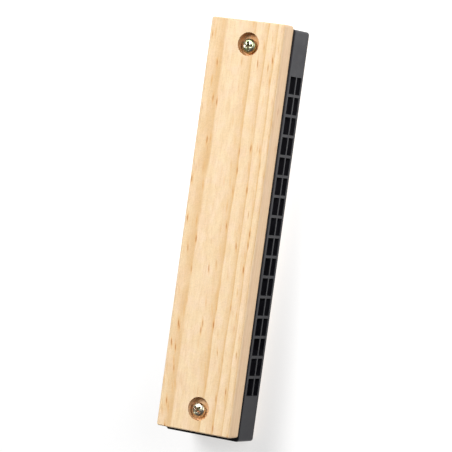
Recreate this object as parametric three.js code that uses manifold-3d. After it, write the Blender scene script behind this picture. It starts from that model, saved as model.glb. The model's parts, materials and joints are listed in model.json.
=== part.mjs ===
// Tremolo harmonica with wooden covers, in millimetres.
// +X runs along the row of holes from the low notes to the high ones, the mouth face looks
// towards -Y, and +Z points out of the front cover. The harmonica lies on its rear cover.
import * as THREE from 'three';
import { mergeVertices } from 'three/addons/utils/BufferGeometryUtils.js';
import Module from 'manifold-3d';

// ---------------------------------------------------------------- driving dimensions

// Mouth face: two rows of windows
const CELL_COUNT = 16;
const CELL_PITCH = 6.5;
const WINDOW_WIDTH = 5.6;
const UPPER_WINDOW_HEIGHT = 3.8;
const LOWER_WINDOW_HEIGHT = 3.1;
const WEB_THICKNESS = 0.8;          // floor between the upper and the lower row
const LIP_THICKNESS = 1.45;         // plastic above and below the windows
const END_BLOCK = 14.95;            // solid plastic beyond the outermost windows

// Comb
const MOUTH_RIM = 2.3;              // plastic in front of a reed plate
const REAR_WALL = 2.25;             // plastic behind a reed plate
const COMB_CORNER = 1.0;
const COMB_EDGE = 0.45;             // rounding of the comb's long edges

// Reeds: a tongue with a riveted pad at its rear end
const REED_LONGEST = 15.5;          // from the tip to the rivet, lowest note
const REED_SHORTEST = 8.5;          // the same, highest note
const REED_WIDTH = 2.3;
const REED_THICKNESS = 0.3;
const PAD_WIDTH = 3.4;
const PAD_LENGTH = 2.8;
const PAD_SHOULDER = 0.6;           // taper between the pad and the tongue
const RIVET_SHANK_RADIUS = 0.5;
const RIVET_HEAD_RADIUS = 1.0;
const RIVET_HEAD_HEIGHT = 0.4;

// Reed plates
const PLATE_THICKNESS = 1.0;
const PLATE_LEDGE = 1.2;            // strip of plate that rests on the comb, front and rear
const PLATE_END = 4.2;              // plate beyond the outermost cells
const PLATE_CORNER = 0.8;
const SLOT_MARGIN = 1.2;            // from the front of the open cell to the reed slots
const CELL_MARGIN = 0.6;            // room in the cell behind a reed's pad

// Countersunk screws that hold a reed plate
const PLATE_SCREW_OUT = 2.1;        // from the outermost cell to the screw
const PLATE_SCREW_IN = 3.2;         // from the plate's front and rear edge to the screw
const PLATE_SCREW_HEAD_RADIUS = 1.2;
const PLATE_SCREW_HEAD_HEIGHT = 0.7;
const PLATE_SCREW_SHANK_RADIUS = 0.6;
const PLATE_SCREW_LENGTH = 3.6;
const PLATE_SCREW_SLOT_WIDTH = 0.4;
const PLATE_SCREW_SLOT_DEPTH = 0.35;

// Covers
const COVER_THICKNESS = 6.0;
const COVER_CORNER = 1.3;
const COVER_EDGE = 1.2;             // rounding of the outer edge
const COVER_SHORTER = 0.3;          // how much shorter than the comb
const FRONT_SETBACK = 0.45;         // comb left bare in front of the front cover
const FRONT_OVERHANG = 0.8;         // front cover standing out behind the comb
const FRONT_SLIP = 1.1;             // the front cover is fitted a little off centre
const FRONT_SKEW = THREE.MathUtils.degToRad(0.14);
const REAR_SETBACK = 2.7;           // comb left bare in front of the rear cover
const REAR_OVERHANG = 0;
const CAVITY_DEPTH = 3.2;           // hollow over the reeds
const CAVITY_MARGIN = 0.65;         // hollow ahead of the reeds' tips
const CAVITY_END = 1.6;             // hollow beyond the outermost cells
const SOUND_SLOT_END = 3.5;         // rear wall left standing at each end of the hollow

// Cover screws: pan heads with a cross recess
const SCREW_INSET = 7.75;           // from the comb's end
const SCREW_SETBACK = 13.45;        // from the mouth face
const PILOT_SHIFT = 0.55;           // the screws sit a little towards the high notes
const FRONT_BORE_LEAD = 0.65;       // front counterbores drilled ahead of their screws
const HEAD_ROOM = 1.3;              // around a head in its counterbore
const HEAD_SUNK = 0.8;              // from the cover's face down to the head's crown
const SCREW_HEAD_RADIUS = 2.45;
const SCREW_HEAD_HEIGHT = 1.7;
const SCREW_HEAD_RIM = 0.7;         // straight side of the head, below its dome
const SCREW_SHANK_RADIUS = 1.2;
const SCREW_BITE = 4.2;             // length of thread in the comb
const SCREW_POINT = 1.2;
const RECESS_LENGTH = 3.1;
const RECESS_WIDTH = 0.85;
const RECESS_DEPTH = 1.1;

// Clearances
const PLATE_FIT = 0.3;              // around a reed plate in its recess
const SCREW_FIT = 0.3;              // around a screw
const REED_FIT = 0.3;               // beside a reed in its slot, and around its rivet
const TIP_FIT = 0.35;               // ahead of a reed's tip
const REED_LIFT = 0.2;              // from plate to reed, and from reed to rivet head
const BORE_RUNOUT = 0.8;            // how much deeper a pilot hole is than its screw
const CUT = 1.0;                    // how far a cutting solid runs past a face
const MERGE_DISTANCE = 1e-4;        // corners closer than this are one corner

// Smoothness of the round shapes
const FINE_SEGMENTS = 24;
const COARSE_SEGMENTS = 12;
const CORNER_SEGMENTS = 4;
const EDGE_STEPS = 4;
const DOME_STEPS = 4;

// ---------------------------------------------------------------- derived sizes

const GRID_HALF = ((CELL_COUNT - 1) * CELL_PITCH + WINDOW_WIDTH) / 2;
const COMB_LENGTH = 2 * (GRID_HALF + END_BLOCK);
const WINDOWS_HEIGHT = UPPER_WINDOW_HEIGHT + WEB_THICKNESS + LOWER_WINDOW_HEIGHT;
const COMB_HEIGHT = WINDOWS_HEIGHT + 2 * LIP_THICKNESS;
const COMB_MIDDLE = COVER_THICKNESS + COMB_HEIGHT / 2;

// Distances from the mouth face
const PLATE_FRONT = MOUTH_RIM + PLATE_FIT;
const CELL_FRONT = PLATE_FRONT + PLATE_LEDGE;
const SLOT_FRONT = CELL_FRONT + SLOT_MARGIN;
const REED_TIP = SLOT_FRONT + TIP_FIT;
const LONGEST_CELL_REAR = REED_TIP + REED_LONGEST + PAD_LENGTH / 2 + CELL_MARGIN;
const PLATE_REAR = LONGEST_CELL_REAR + PLATE_LEDGE;
const COMB_DEPTH = PLATE_REAR + PLATE_FIT + REAR_WALL;

const PLATE_HALF = GRID_HALF + PLATE_END;
const PLATE_SCREW_X = GRID_HALF + PLATE_SCREW_OUT;
const PLATE_SCREW_YS = [PLATE_FRONT + PLATE_SCREW_IN, PLATE_REAR - PLATE_SCREW_IN];
const SCREW_X = COMB_LENGTH / 2 - SCREW_INSET;
const COVER_LENGTH = COMB_LENGTH - COVER_SHORTER;
const COUNTERBORE_RADIUS = SCREW_HEAD_RADIUS + HEAD_ROOM;
const COUNTERBORE_DEPTH = SCREW_HEAD_HEIGHT + HEAD_SUNK;
const SCREW_HOLE_RADIUS = SCREW_SHANK_RADIUS + SCREW_FIT;

// One column of holes: its place along the comb and the reed that it feeds.
// Blow reeds sit on the inner face of a plate and draw reeds on the outer one, in turn.
const columns = [];
for (let index = 0; index < CELL_COUNT; index += 1) {
  const share = index / (CELL_COUNT - 1);
  const reedLength = THREE.MathUtils.lerp(REED_LONGEST, REED_SHORTEST, share);
  columns.push({
    number: String(index + 1).padStart(2, '0'),
    x: (index - (CELL_COUNT - 1) / 2) * CELL_PITCH,
    reedLength,
    rivetY: REED_TIP + reedLength,
    isBlow: index % 2 === 0,
  });
}

// ---------------------------------------------------------------- materials

function plainMaterial(name, color, roughness, metalness) {
  return new THREE.MeshStandardMaterial({ name, color, roughness, metalness });
}

const pine = plainMaterial('pine', 0xf3d3a3, 0.55, 0.0);
const blackPlastic = plainMaterial('black_plastic', 0x3b3b3f, 0.45, 0.0);
const brass = plainMaterial('brass', 0xc8a254, 0.32, 1.0);
const reedBronze = plainMaterial('reed_bronze', 0xc4935a, 0.3, 1.0);
const yellowZinc = plainMaterial('yellow_zinc', 0xb9a878, 0.35, 1.0);

// ---------------------------------------------------------------- joining and cutting

const wasm = await Module();
wasm.setup();

// Only positions are kept, and shared corners are merged, so that the mesh is closed
function toSolid(geometry) {
  const bare = geometry.clone();
  bare.deleteAttribute('normal');
  bare.deleteAttribute('uv');
  const merged = mergeVertices(bare, MERGE_DISTANCE);
  return new wasm.Manifold(new wasm.Mesh({
    numProp: 3,
    vertProperties: new Float32Array(merged.attributes.position.array),
    triVerts: new Uint32Array(merged.index.array),
  }));
}

// Back to a geometry that a mesh can show
function toGeometry(solid) {
  const { vertProperties, triVerts } = solid.getMesh();
  const geometry = new THREE.BufferGeometry();
  geometry.setAttribute('position', new THREE.BufferAttribute(vertProperties, 3));
  geometry.setIndex(new THREE.BufferAttribute(triVerts, 1));
  geometry.computeVertexNormals();
  return geometry;
}

function joinAll(solid, additions) {
  return additions.reduce((whole, addition) => whole.add(addition), solid);
}

function cutAll(solid, cutters) {
  return cutters.reduce((rest, cutter) => rest.subtract(cutter), solid);
}

// ---------------------------------------------------------------- basic solids

// A box between two corners
function block(low, high) {
  const size = new THREE.Vector3().subVectors(high, low);
  const centre = new THREE.Vector3().addVectors(low, high).multiplyScalar(0.5);
  const geometry = new THREE.BoxGeometry(size.x, size.y, size.z);
  geometry.translate(centre.x, centre.y, centre.z);
  return toSolid(geometry);
}

// A body turned about a line parallel to Z through (x, y); profile lists [radius, height]
function turned(profile, x, y, segments) {
  const points = profile.map(([radius, height]) => new THREE.Vector2(radius, height));
  const geometry = new THREE.LatheGeometry(points, segments);
  geometry.rotateX(Math.PI / 2);
  geometry.translate(x, y, 0);
  return toSolid(geometry);
}

// An upright cylinder from height low to height high
function peg(x, y, low, high, radius, segments) {
  return turned([[0, low], [radius, low], [radius, high], [0, high]], x, y, segments);
}

// A rectangle with round corners about the origin
function roundedOutline(length, depth, corner) {
  const halfLength = length / 2 - corner;
  const halfDepth = depth / 2 - corner;
  const quarter = Math.PI / 2;
  const outline = new THREE.Shape();
  outline.absarc(halfLength, halfDepth, corner, 0, quarter);
  outline.absarc(-halfLength, halfDepth, corner, quarter, 2 * quarter);
  outline.absarc(-halfLength, -halfDepth, corner, 2 * quarter, 3 * quarter);
  outline.absarc(halfLength, -halfDepth, corner, 3 * quarter, 4 * quarter);
  outline.closePath();
  return outline;
}

// A plank from height low to height high, with both faces' edges rounded; its middle is at y
function plank({ length, depth, y, low, high, corner, edge }) {
  const outline = roundedOutline(length - 2 * edge, depth - 2 * edge, corner - edge);
  const geometry = new THREE.ExtrudeGeometry(outline, {
    depth: high - low - 2 * edge,
    curveSegments: CORNER_SEGMENTS,
    bevelEnabled: true,
    bevelThickness: edge,
    bevelSize: edge,
    bevelSegments: EDGE_STEPS,
  });
  geometry.translate(0, y, low + edge);
  return toSolid(geometry);
}

// ---------------------------------------------------------------- comb

function cellCutters(column, side) {
  const left = column.x - WINDOW_WIDTH / 2;
  const right = column.x + WINDOW_WIDTH / 2;
  const rear = column.rivetY + PAD_LENGTH / 2 + CELL_MARGIN;
  const windowHeight = side > 0 ? UPPER_WINDOW_HEIGHT : LOWER_WINDOW_HEIGHT;
  const face = COMB_MIDDLE + side * COMB_HEIGHT / 2;
  const lintel = face - side * LIP_THICKNESS;
  const floor = lintel - side * windowHeight;
  const window = block(
    new THREE.Vector3(left, -CUT, Math.min(floor, lintel)),
    new THREE.Vector3(right, CELL_FRONT + PLATE_LEDGE / 2, Math.max(floor, lintel)),
  );
  const chamber = block(
    new THREE.Vector3(left, CELL_FRONT, Math.min(floor, face)),
    new THREE.Vector3(right, rear, Math.max(floor, face)),
  );
  return [window, chamber];
}

function plateRecess(side) {
  const face = COMB_MIDDLE + side * (COMB_HEIGHT / 2 + CUT);
  const floor = COMB_MIDDLE + side * (COMB_HEIGHT / 2 - PLATE_THICKNESS);
  return block(
    new THREE.Vector3(-PLATE_HALF - PLATE_FIT, MOUTH_RIM, Math.min(face, floor)),
    new THREE.Vector3(PLATE_HALF + PLATE_FIT, PLATE_REAR + PLATE_FIT, Math.max(face, floor)),
  );
}

function plateScrewBore(x, y, side) {
  const face = COMB_MIDDLE + side * COMB_HEIGHT / 2;
  const bottom = COMB_MIDDLE + side * (COMB_HEIGHT / 2 - PLATE_SCREW_LENGTH - BORE_RUNOUT);
  const radius = PLATE_SCREW_SHANK_RADIUS + SCREW_FIT;
  return peg(x, y, Math.min(face, bottom), Math.max(face, bottom), radius, COARSE_SEGMENTS);
}

function makeComb() {
  const low = COVER_THICKNESS;
  const high = COVER_THICKNESS + COMB_HEIGHT;
  const body = plank({
    length: COMB_LENGTH,
    depth: COMB_DEPTH,
    y: COMB_DEPTH / 2,
    low,
    high,
    corner: COMB_CORNER,
    edge: COMB_EDGE,
  });
  const cutters = [];
  for (const side of [1, -1]) {
    cutters.push(plateRecess(side));
    for (const column of columns) {
      cutters.push(...cellCutters(column, side));
    }
    for (const end of [-1, 1]) {
      for (const y of PLATE_SCREW_YS) {
        cutters.push(plateScrewBore(end * PLATE_SCREW_X, y, side));
      }
    }
  }
  for (const end of [-1, 1]) {
    const x = end * SCREW_X + PILOT_SHIFT;
    const [bottom, top] = [low - CUT, high + CUT];
    cutters.push(peg(x, SCREW_SETBACK, bottom, top, SCREW_HOLE_RADIUS, FINE_SEGMENTS));
  }
  const mesh = new THREE.Mesh(toGeometry(cutAll(body, cutters)), blackPlastic);
  mesh.name = 'comb';
  return mesh;
}

// ---------------------------------------------------------------- one side of the comb
//
// The pieces below are drawn on a comb face at height 0 with +Z pointing away from the comb.
// The upper side uses them as they are; the lower side is the same stack turned half a turn
// about Y, so a place x along the comb is drawn there at mirror * x with mirror = -1.

function rivet(column, mirror) {
  const direction = column.isBlow ? -1 : 1;
  const face = column.isBlow ? -PLATE_THICKNESS : 0;
  const neck = 2 * REED_LIFT + REED_THICKNESS;
  const root = face - direction * PLATE_THICKNESS / 2;
  const under = face + direction * neck;
  const top = under + direction * RIVET_HEAD_HEIGHT;
  const x = mirror * column.x;
  const shankLow = Math.min(root, top);
  const shankHigh = Math.max(root, top);
  const shank = peg(x, column.rivetY, shankLow, shankHigh, RIVET_SHANK_RADIUS, COARSE_SEGMENTS);
  const headLow = Math.min(under, top);
  const headHigh = Math.max(under, top);
  const head = peg(x, column.rivetY, headLow, headHigh, RIVET_HEAD_RADIUS, COARSE_SEGMENTS);
  return shank.add(head);
}

function reedSlot(column, mirror) {
  const x = mirror * column.x;
  const half = REED_WIDTH / 2 + REED_FIT;
  const rear = column.rivetY - PAD_LENGTH / 2 - PAD_SHOULDER / 2;
  return block(
    new THREE.Vector3(x - half, SLOT_FRONT, -PLATE_THICKNESS - CUT),
    new THREE.Vector3(x + half, rear, CUT),
  );
}

// A countersunk hole around a plate screw, a clearance larger all round
function countersink(x, y) {
  const wide = PLATE_SCREW_HEAD_RADIUS + SCREW_FIT;
  const narrow = PLATE_SCREW_SHANK_RADIUS + SCREW_FIT;
  const profile = [
    [0, -PLATE_THICKNESS - CUT],
    [narrow, -PLATE_THICKNESS - CUT],
    [narrow, -PLATE_SCREW_HEAD_HEIGHT],
    [wide, 0],
    [wide, CUT],
    [0, CUT],
  ];
  return turned(profile, x, y, COARSE_SEGMENTS);
}

function makePlate(name, mirror) {
  const outline = roundedOutline(2 * PLATE_HALF, PLATE_REAR - PLATE_FRONT, PLATE_CORNER);
  const geometry = new THREE.ExtrudeGeometry(outline, {
    depth: PLATE_THICKNESS,
    curveSegments: CORNER_SEGMENTS,
    bevelEnabled: false,
  });
  geometry.translate(0, (PLATE_FRONT + PLATE_REAR) / 2, -PLATE_THICKNESS);
  const cutters = columns.map((column) => reedSlot(column, mirror));
  for (const end of [-1, 1]) {
    for (const y of PLATE_SCREW_YS) {
      cutters.push(countersink(end * PLATE_SCREW_X, y));
    }
  }
  const sheet = cutAll(toSolid(geometry), cutters);
  const rivets = columns.map((column) => rivet(column, mirror));
  const mesh = new THREE.Mesh(toGeometry(joinAll(sheet, rivets)), brass);
  mesh.name = name;
  return mesh;
}

// The reed's pivot, on its rivet's axis, is the origin of its mesh; the tongue points to -Y
function makeReed(name, column, mirror) {
  const tongueHalf = REED_WIDTH / 2;
  const padHalf = PAD_WIDTH / 2;
  const padFront = -PAD_LENGTH / 2;
  const shoulder = padFront - PAD_SHOULDER;
  const outline = new THREE.Shape();
  outline.moveTo(-tongueHalf, -column.reedLength);
  outline.lineTo(tongueHalf, -column.reedLength);
  outline.lineTo(tongueHalf, shoulder);
  outline.lineTo(padHalf, padFront);
  outline.lineTo(padHalf, PAD_LENGTH / 2);
  outline.lineTo(-padHalf, PAD_LENGTH / 2);
  outline.lineTo(-padHalf, padFront);
  outline.lineTo(-tongueHalf, shoulder);
  outline.closePath();
  const hole = new THREE.Path();
  hole.absarc(0, 0, RIVET_SHANK_RADIUS + REED_FIT, 0, 2 * Math.PI, true);
  outline.holes.push(hole);
  const geometry = new THREE.ExtrudeGeometry(outline, {
    depth: REED_THICKNESS,
    curveSegments: COARSE_SEGMENTS,
    bevelEnabled: false,
  });
  geometry.translate(0, 0, -REED_THICKNESS / 2);
  const offset = REED_LIFT + REED_THICKNESS / 2;
  const height = column.isBlow ? -PLATE_THICKNESS - offset : offset;
  const mesh = new THREE.Mesh(geometry, reedBronze);
  mesh.name = name;
  mesh.position.set(mirror * column.x, column.rivetY, height);
  return mesh;
}

function makePlateScrew(name, x, y) {
  const pointLength = PLATE_SCREW_SHANK_RADIUS;
  const profile = [
    [0, -PLATE_SCREW_LENGTH],
    [PLATE_SCREW_SHANK_RADIUS, -PLATE_SCREW_LENGTH + pointLength],
    [PLATE_SCREW_SHANK_RADIUS, -PLATE_SCREW_HEAD_HEIGHT],
    [PLATE_SCREW_HEAD_RADIUS, 0],
    [0, 0],
  ];
  const reach = PLATE_SCREW_HEAD_RADIUS + CUT;
  const halfSlot = PLATE_SCREW_SLOT_WIDTH / 2;
  const slot = block(
    new THREE.Vector3(-reach, -halfSlot, -PLATE_SCREW_SLOT_DEPTH),
    new THREE.Vector3(reach, halfSlot, CUT),
  );
  const solid = turned(profile, 0, 0, COARSE_SEGMENTS).subtract(slot);
  const mesh = new THREE.Mesh(toGeometry(solid), yellowZinc);
  mesh.name = name;
  mesh.position.set(x, y, 0);
  return mesh;
}

// A cover centred on its own outline, inner face at height 0. The hollow over the reeds opens
// through the rear edge as the slot that lets the sound out. The holes for the screws lie
// where the screws are, however the cover is fitted, and the counterbores may miss them a little.
function makeCover({ name, mirror, setback, overhang, slip, skew, boreLead }) {
  const depth = COMB_DEPTH + overhang - setback;
  const centreY = setback + depth / 2;
  const rounded = plank({
    length: COVER_LENGTH,
    depth,
    y: 0,
    low: -COVER_EDGE,
    high: COVER_THICKNESS,
    corner: COVER_CORNER,
    edge: COVER_EDGE,
  });
  const reach = COVER_LENGTH + depth;
  const belowInnerFace = block(
    new THREE.Vector3(-reach, -reach, -reach),
    new THREE.Vector3(reach, reach, 0),
  );
  const cavityHalf = GRID_HALF + CAVITY_END;
  const cavityFront = REED_TIP - CAVITY_MARGIN - centreY;
  const cavityRear = PLATE_REAR - centreY;
  const cavity = block(
    new THREE.Vector3(-cavityHalf, cavityFront, -CUT),
    new THREE.Vector3(cavityHalf, cavityRear, CAVITY_DEPTH),
  );
  const slotHalf = cavityHalf - SOUND_SLOT_END;
  const soundSlot = block(
    new THREE.Vector3(-slotHalf, 0, -CUT),
    new THREE.Vector3(slotHalf, depth / 2 + CUT, CAVITY_DEPTH),
  );
  const cutters = [belowInnerFace, cavity, soundSlot];
  const place = new THREE.Vector3(slip, centreY, 0);
  const upright = new THREE.Vector3(0, 0, 1);
  const boreY = SCREW_SETBACK - boreLead - centreY;
  const seat = COVER_THICKNESS - COUNTERBORE_DEPTH;
  const top = COVER_THICKNESS + CUT;
  for (const end of [-1, 1]) {
    const hole = new THREE.Vector3(mirror * (end * SCREW_X + PILOT_SHIFT), SCREW_SETBACK, 0);
    hole.sub(place).applyAxisAngle(upright, -skew);
    cutters.push(peg(hole.x, hole.y, -CUT, top, SCREW_HOLE_RADIUS, FINE_SEGMENTS));
    cutters.push(peg(end * SCREW_X, boreY, seat, top, COUNTERBORE_RADIUS, FINE_SEGMENTS));
  }
  const mesh = new THREE.Mesh(toGeometry(cutAll(rounded, cutters)), pine);
  mesh.name = name;
  mesh.position.copy(place);
  mesh.rotation.z = skew;
  return mesh;
}

function makeCoverScrew(name, x) {
  const seat = COVER_THICKNESS - COUNTERBORE_DEPTH;
  const tip = -SCREW_BITE;
  const crown = seat + SCREW_HEAD_HEIGHT;
  const profile = [
    [0, tip],
    [SCREW_SHANK_RADIUS, tip + SCREW_POINT],
    [SCREW_SHANK_RADIUS, seat],
    [SCREW_HEAD_RADIUS, seat],
  ];
  for (let step = 0; step < DOME_STEPS; step += 1) {
    const angle = (step / DOME_STEPS) * Math.PI / 2;
    const rise = (SCREW_HEAD_HEIGHT - SCREW_HEAD_RIM) * Math.sin(angle);
    profile.push([SCREW_HEAD_RADIUS * Math.cos(angle), seat + SCREW_HEAD_RIM + rise]);
  }
  profile.push([0, crown]);
  const body = turned(profile, 0, 0, FINE_SEGMENTS);
  const long = new THREE.Vector3(RECESS_LENGTH / 2, RECESS_WIDTH / 2, 0);
  const across = new THREE.Vector3(RECESS_WIDTH / 2, RECESS_LENGTH / 2, 0);
  const arms = [long, across].map((half) => block(
    new THREE.Vector3(-half.x, -half.y, crown - RECESS_DEPTH),
    new THREE.Vector3(half.x, half.y, crown + CUT),
  ));
  const mesh = new THREE.Mesh(toGeometry(cutAll(body, arms)), yellowZinc);
  mesh.name = name;
  mesh.position.set(x, SCREW_SETBACK, 0);
  return mesh;
}

// Plate, reeds, plate screws, cover and cover screws of one side
function makeSide({ mirror, plateName, coverName, ...fitting }) {
  const side = new THREE.Group();
  side.add(makePlate(`${plateName}_reed_plate`, mirror));
  for (const column of columns) {
    side.add(makeReed(`${plateName}_reed_${column.number}`, column, mirror));
  }
  const ends = [{ name: 'low', sign: -1 }, { name: 'high', sign: 1 }];
  const [frontY, rearY] = PLATE_SCREW_YS;
  for (const end of ends) {
    const x = mirror * end.sign * PLATE_SCREW_X;
    side.add(makePlateScrew(`${plateName}_plate_screw_${end.name}_mouth`, x, frontY));
    side.add(makePlateScrew(`${plateName}_plate_screw_${end.name}_back`, x, rearY));
    const screwX = mirror * (end.sign * SCREW_X + PILOT_SHIFT);
    side.add(makeCoverScrew(`${coverName}_cover_screw_${end.name}`, screwX));
  }
  side.add(makeCover({ name: `${coverName}_cover`, mirror, ...fitting }));
  return side;
}

// ---------------------------------------------------------------- assembly

const harmonica = new THREE.Group();
harmonica.name = 'harmonica';
harmonica.add(makeComb());

const upperSide = makeSide({
  mirror: 1,
  plateName: 'upper',
  coverName: 'front',
  setback: FRONT_SETBACK,
  overhang: FRONT_OVERHANG,
  slip: FRONT_SLIP,
  skew: FRONT_SKEW,
  boreLead: FRONT_BORE_LEAD,
});
upperSide.position.z = COVER_THICKNESS + COMB_HEIGHT;
harmonica.add(upperSide);

const lowerSide = makeSide({
  mirror: -1,
  plateName: 'lower',
  coverName: 'rear',
  setback: REAR_SETBACK,
  overhang: REAR_OVERHANG,
  slip: 0,
  skew: 0,
  boreLead: 0,
});
lowerSide.rotation.y = Math.PI;
lowerSide.position.z = COVER_THICKNESS;
harmonica.add(lowerSide);

// The origin lies under the middle of the whole object
const bounds = new THREE.Box3().setFromObject(harmonica);
const middle = bounds.getCenter(new THREE.Vector3());
harmonica.position.set(-middle.x, -middle.y, 0);

export default harmonica;
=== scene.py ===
import json
import math

import bmesh
import bpy
from bpy.props import FloatProperty, FloatVectorProperty, PointerProperty
from mathutils import Matrix, Vector

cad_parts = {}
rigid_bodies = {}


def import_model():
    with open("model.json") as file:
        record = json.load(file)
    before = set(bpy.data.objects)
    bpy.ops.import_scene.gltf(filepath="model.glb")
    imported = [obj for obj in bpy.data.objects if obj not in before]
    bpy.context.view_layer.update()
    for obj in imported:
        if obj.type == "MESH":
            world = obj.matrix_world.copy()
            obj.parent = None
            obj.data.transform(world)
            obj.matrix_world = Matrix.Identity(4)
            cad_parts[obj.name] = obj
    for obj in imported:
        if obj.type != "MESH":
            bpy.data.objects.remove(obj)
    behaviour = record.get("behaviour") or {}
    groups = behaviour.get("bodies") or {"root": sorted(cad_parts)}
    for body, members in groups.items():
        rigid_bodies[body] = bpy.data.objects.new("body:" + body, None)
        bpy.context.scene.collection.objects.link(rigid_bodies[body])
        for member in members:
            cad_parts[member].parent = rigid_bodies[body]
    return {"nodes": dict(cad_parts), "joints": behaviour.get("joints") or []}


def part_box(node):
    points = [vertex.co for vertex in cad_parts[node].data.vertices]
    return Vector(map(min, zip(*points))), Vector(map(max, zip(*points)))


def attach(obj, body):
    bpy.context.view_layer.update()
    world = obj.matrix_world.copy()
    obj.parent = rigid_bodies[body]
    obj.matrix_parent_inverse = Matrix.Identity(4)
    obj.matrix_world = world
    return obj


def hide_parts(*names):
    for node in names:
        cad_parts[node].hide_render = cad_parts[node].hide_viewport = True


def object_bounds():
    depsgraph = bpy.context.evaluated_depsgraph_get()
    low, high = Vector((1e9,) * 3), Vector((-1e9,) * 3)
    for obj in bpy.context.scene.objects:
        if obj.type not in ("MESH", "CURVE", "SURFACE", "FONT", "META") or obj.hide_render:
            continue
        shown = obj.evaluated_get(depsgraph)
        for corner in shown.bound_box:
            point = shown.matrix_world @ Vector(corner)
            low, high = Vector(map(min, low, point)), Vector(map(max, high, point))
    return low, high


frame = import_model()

bl_info = {
    "name": "Wooden Harmonica",
    "version": (1, 0, 0),
    "blender": (4, 5, 0),
    "location": "View3D > Sidebar > Harmonica",
    "description": "Dresses the packed harmonica with its finished pieces, materials and stage",
    "category": "Object",
}

MM = 0.001
CAD_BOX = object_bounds()
ROOT = frame["joints"][0]["parent"]
SIDES = {"upper": 1, "lower": -1}
COVER_OF = {"upper": "front", "lower": "rear"}
ENDS = ("low", "high")
ROWS = ("mouth", "back")
COMB_LOW, COMB_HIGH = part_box("comb")
PIVOTS = {joint["child"]: Vector(joint["pos_m"]) for joint in frame["joints"]}

PAN_FULLNESS = 2.7       # 2 is an ellipse, and more is a fuller screw head
RING_CROWDING = 5.0      # how fast the growth rings get narrower away from the pith
RING_START = 0.6         # where in its ring the wood nearest the pith begins
THREAD_RIDGE = 0.32      # half width of a thread's ridge, in turns
BLUNT_POINT = 0.12       # radius of a screw's point, as a part of its shank's
SMALL_CIRCLE = 32        # sides of the small turned and countersunk pieces


# ------------------------------------------------------------------ settings

def length(name, description, millimetres):
    return FloatProperty(
        name=name, description=description, default=millimetres * MM,
        min=0.0, precision=5, subtype="DISTANCE", unit="LENGTH",
    )


def angle(name, description, degrees):
    return FloatProperty(
        name=name, description=description, default=math.radians(degrees),
        subtype="ANGLE", unit="ROTATION",
    )


def share(name, description, value):
    return FloatProperty(
        name=name, description=description, default=value, min=0.0, max=1.0, subtype="FACTOR",
    )


def colour(name, description, rgb):
    return FloatVectorProperty(
        name=name, description=description, default=(*rgb, 1.0),
        size=4, min=0.0, max=1.0, subtype="COLOR",
    )


def direction(name, description, xyz):
    return FloatVectorProperty(
        name=name, description=description, default=xyz, size=3, subtype="XYZ")


class CoverSettings(bpy.types.PropertyGroup):
    edge_radius: length("Edge radius", "Rounding of a cover's outer edge", 1.2)
    inner_edge: length("Inner edge", "Rounding of a cover's edge against the comb", 0.25)
    end_share: share("End share", "Rounding of the ends, as a part of that of the long edges", 0.4)
    corner_radius: length("Corner radius", "Rounding of a cover's upright corners", 0.95)
    front_skew: angle("Front skew", "Turn of the front cover on its screws", 0.14)
    hollow_depth: length("Hollow depth", "Depth of the hollow over the reeds", 3.2)
    hollow_ahead: length("Hollow ahead", "Hollow in front of the reed tips", 0.65)
    hollow_end: length("Hollow end", "Hollow beyond the outermost windows", 1.6)
    slot_end: length("Slot end", "Rear wall left at each end of the hollow", 3.5)
    bore_radius: length("Bore radius", "Radius of the counterbore around a screw head", 3.75)
    bore_depth: length("Bore depth", "Depth of the counterbore", 2.5)
    hole_radius: length("Hole radius", "Radius of the hole for the screw's shank", 1.5)
    rim: length("Rim", "Softening of the sawn and drilled edges", 0.12)
    pale_wood: colour("Pale wood", "Early wood between the growth rings", (0.89, 0.69, 0.44))
    blushed_wood: colour("Blushed wood", "Rosier patches of the early wood", (0.91, 0.695, 0.49))
    ring_wood: colour("Ring wood", "Late wood in the growth rings", (0.73, 0.465, 0.215))
    # painted shade: the wood of the sides and rounded edges is painted darker and rosier than the face
    shaded_side_wood: colour("Side wood", "Wood of the sawn and rounded sides", (0.82, 0.56, 0.36))
    resin: colour("Resin", "Short resin flecks along the grain", (0.43, 0.125, 0.014))
    resin_halo: colour("Resin halo", "Stained wood around a resin fleck", (0.76, 0.41, 0.13))
    drilled_wood: colour("Drilled wood", "Wood browned by the drill", (0.60, 0.26, 0.07))
    core_radius: length("Core radius", "Growth rings get narrower beyond this radius", 27.6)
    pith_aside: length("Pith aside", "The log's pith, behind the middle of the comb", 11.9)
    pith_above: length("Pith above", "The log's pith, above the front cover's face", 30.0)
    ring_wander: length("Ring wander", "How far the growth rings wander aside", 3.4)
    plank_shift: length("Plank shift", "Way along the plank from one cover to the next", 140.0)
    fleck_along: length("Fleck spacing", "Spacing of the resin flecks along the grain", 6.6)
    fleck_across: length("Fleck rows", "Spacing of the resin flecks across the grain", 1.1)
    fleck_inward: length("Fleck layers", "Spacing of the resin flecks into the wood", 4.0)


class CombSettings(bpy.types.PropertyGroup):
    softening: length("Softening", "Rounding of the moulded window edges", 0.1)
    window_width: length("Window width", "Width of one mouth hole", 5.6)
    plastic: colour("Plastic", "Moulded black plastic", (0.0070, 0.0069, 0.0110))
    # this colour is painted light: the lighter plastic of the high end stands for the light falling there
    painted_light: colour("Faded plastic", "The plastic where it has faded", (0.0255, 0.0250, 0.0310))
    handled: colour("Handled plastic", "The plastic where it is handled", (0.030, 0.0295, 0.036))


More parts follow.
